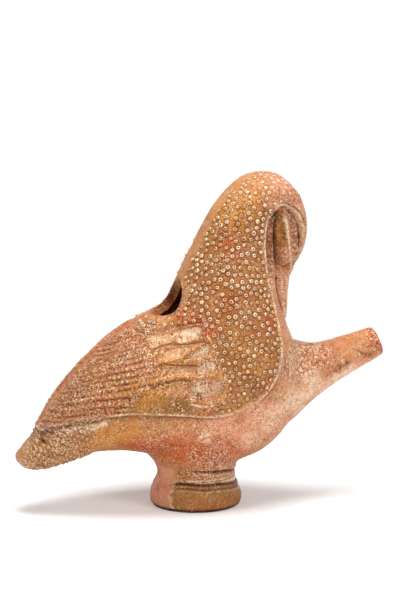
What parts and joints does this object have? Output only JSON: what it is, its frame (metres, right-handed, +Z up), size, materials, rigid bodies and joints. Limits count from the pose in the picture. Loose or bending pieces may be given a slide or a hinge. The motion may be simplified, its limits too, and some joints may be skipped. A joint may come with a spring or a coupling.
{
  "type": "bird-shaped pouring bottle",
  "caption": "Terracotta bottle in the shape of a resting bird, filled through a hole behind the neck and poured from a spout on the breast, on a low round foot.",
  "frame": {"origin": "centre of the foot's underside, on the surface the bottle stands on", "axes": "+Z up, +X towards the spout, so the bird's own right side is -Y"},
  "size_m": [0.183, 0.0722, 0.1634],
  "materials": {
    "plumage_clay": "satin fired clay, orange to ochre, with pale lime crust in the hollows",
    "feather_clay": "satin fired clay with pale crust between the feathers",
    "tail_clay": "satin fired clay, ochre",
    "face_clay": "satin fired clay, pinkish",
    "spout_clay": "satin fired clay, orange with red patches",
    "foot_clay": "satin fired clay, orange brown, worn"
  },
  "bodies": {
    "root": {"body_half_right": "plumage_clay", "body_half_left": "plumage_clay", "wing_right": "feather_clay", "wing_left": "feather_clay", "tail": "tail_clay", "face": "face_clay", "bill": "face_clay", "spout": "spout_clay", "foot_ring": "foot_clay", "foot_base": "foot_clay"}
  },
  "joints": []
}
